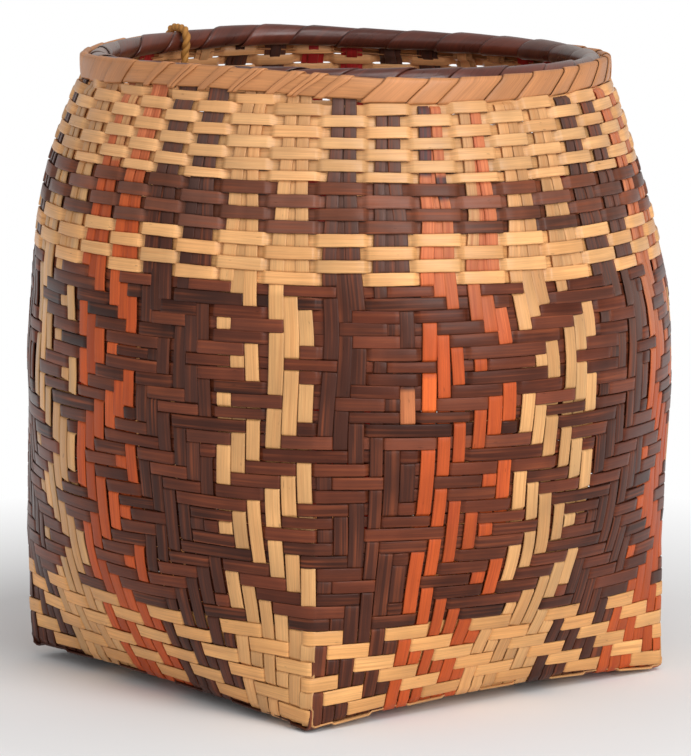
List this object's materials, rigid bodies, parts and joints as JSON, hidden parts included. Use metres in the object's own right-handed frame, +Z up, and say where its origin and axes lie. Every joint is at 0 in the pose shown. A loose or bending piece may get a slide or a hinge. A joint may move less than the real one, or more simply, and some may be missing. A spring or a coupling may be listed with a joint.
{
  "type": "river cane basket",
  "caption": "Plaited storage basket of dyed split cane, with a square base, a full round body, an incurved shoulder and a hoop-bound round mouth.",
  "frame": {"origin": "on the floor under the middle of the square base", "axes": "+Z up through the mouth, X and Y square to the sides of the base, +X -Y towards the corner nearest the viewer"},
  "size_m": [0.2684, 0.2684, 0.2652],
  "materials": {
    "stake_cane": "split cane in natural, orange and brown groups",
    "natural_cane": "natural split cane, satin",
    "brown_cane": "brown dyed split cane, satin",
    "rim_cane": "natural hoop splint, satin",
    "inner_rim_cane": "dark brown dyed cane, semi gloss",
    "twine": "two-ply twine, matt"
  },
  "bodies": {
    "root": {"base_mat": "stake_cane", "stakes_plus_x": "stake_cane", "stakes_plus_y": "stake_cane", "stakes_minus_x": "stake_cane", "stakes_minus_y": "stake_cane", "weaver_shoulder_natural_01": "natural_cane", "weaver_shoulder_natural_02": "natural_cane", "weaver_shoulder_natural_03": "natural_cane", "weaver_shoulder_natural_04": "natural_cane", "weaver_shoulder_natural_05": "natural_cane", "weaver_shoulder_natural_06": "natural_cane", "weaver_shoulder_natural_07": "natural_cane", "weaver_band_brown_01": "brown_cane", "weaver_band_brown_02": "brown_cane", "weaver_band_brown_03": "brown_cane", "weaver_band_brown_04": "brown_cane", "weaver_band_natural_01": "natural_cane", "weaver_band_natural_02": "natural_cane", "weaver_band_natural_03": "natural_cane", "weaver_band_natural_04": "natural_cane", "weaver_body_brown_01": "brown_cane", "weaver_body_brown_02": "brown_cane", "weaver_body_brown_03": "brown_cane", "weaver_body_brown_04": "brown_cane", "weaver_body_brown_05": "brown_cane", "weaver_body_brown_06": "brown_cane", "weaver_body_brown_07": "brown_cane", "weaver_body_brown_08": "brown_cane", "weaver_body_brown_09": "brown_cane", "weaver_body_brown_10": "brown_cane", "weaver_body_brown_11": "brown_cane", "weaver_body_brown_12": "brown_cane", "weaver_body_brown_13": "brown_cane", "weaver_body_brown_14": "brown_cane", "weaver_body_brown_15": "brown_cane", "weaver_body_brown_16": "brown_cane", "weaver_body_brown_17": "brown_cane", "weaver_body_brown_18": "brown_cane", "weaver_body_brown_19": "brown_cane", "weaver_body_brown_20": "brown_cane", "weaver_body_brown_21": "brown_cane", "weaver_body_brown_22": "brown_cane", "weaver_body_brown_23": "brown_cane", "weaver_body_brown_24": "brown_cane", "weaver_body_brown_25": "brown_cane", "weaver_body_brown_26": "brown_cane", "weaver_body_brown_27": "brown_cane", "weaver_foot_natural_01": "natural_cane", "weaver_foot_natural_02": "natural_cane", "weaver_foot_natural_03": "natural_cane", "weaver_foot_natural_04": "natural_cane", "weaver_foot_natural_05": "natural_cane", "weaver_foot_natural_06": "natural_cane", "rim_hoop_outer": "rim_cane", "rim_hoop_inner": "inner_rim_cane", "rim_lashing": "rim_cane", "twine_loop": "twine"}
  },
  "joints": []
}
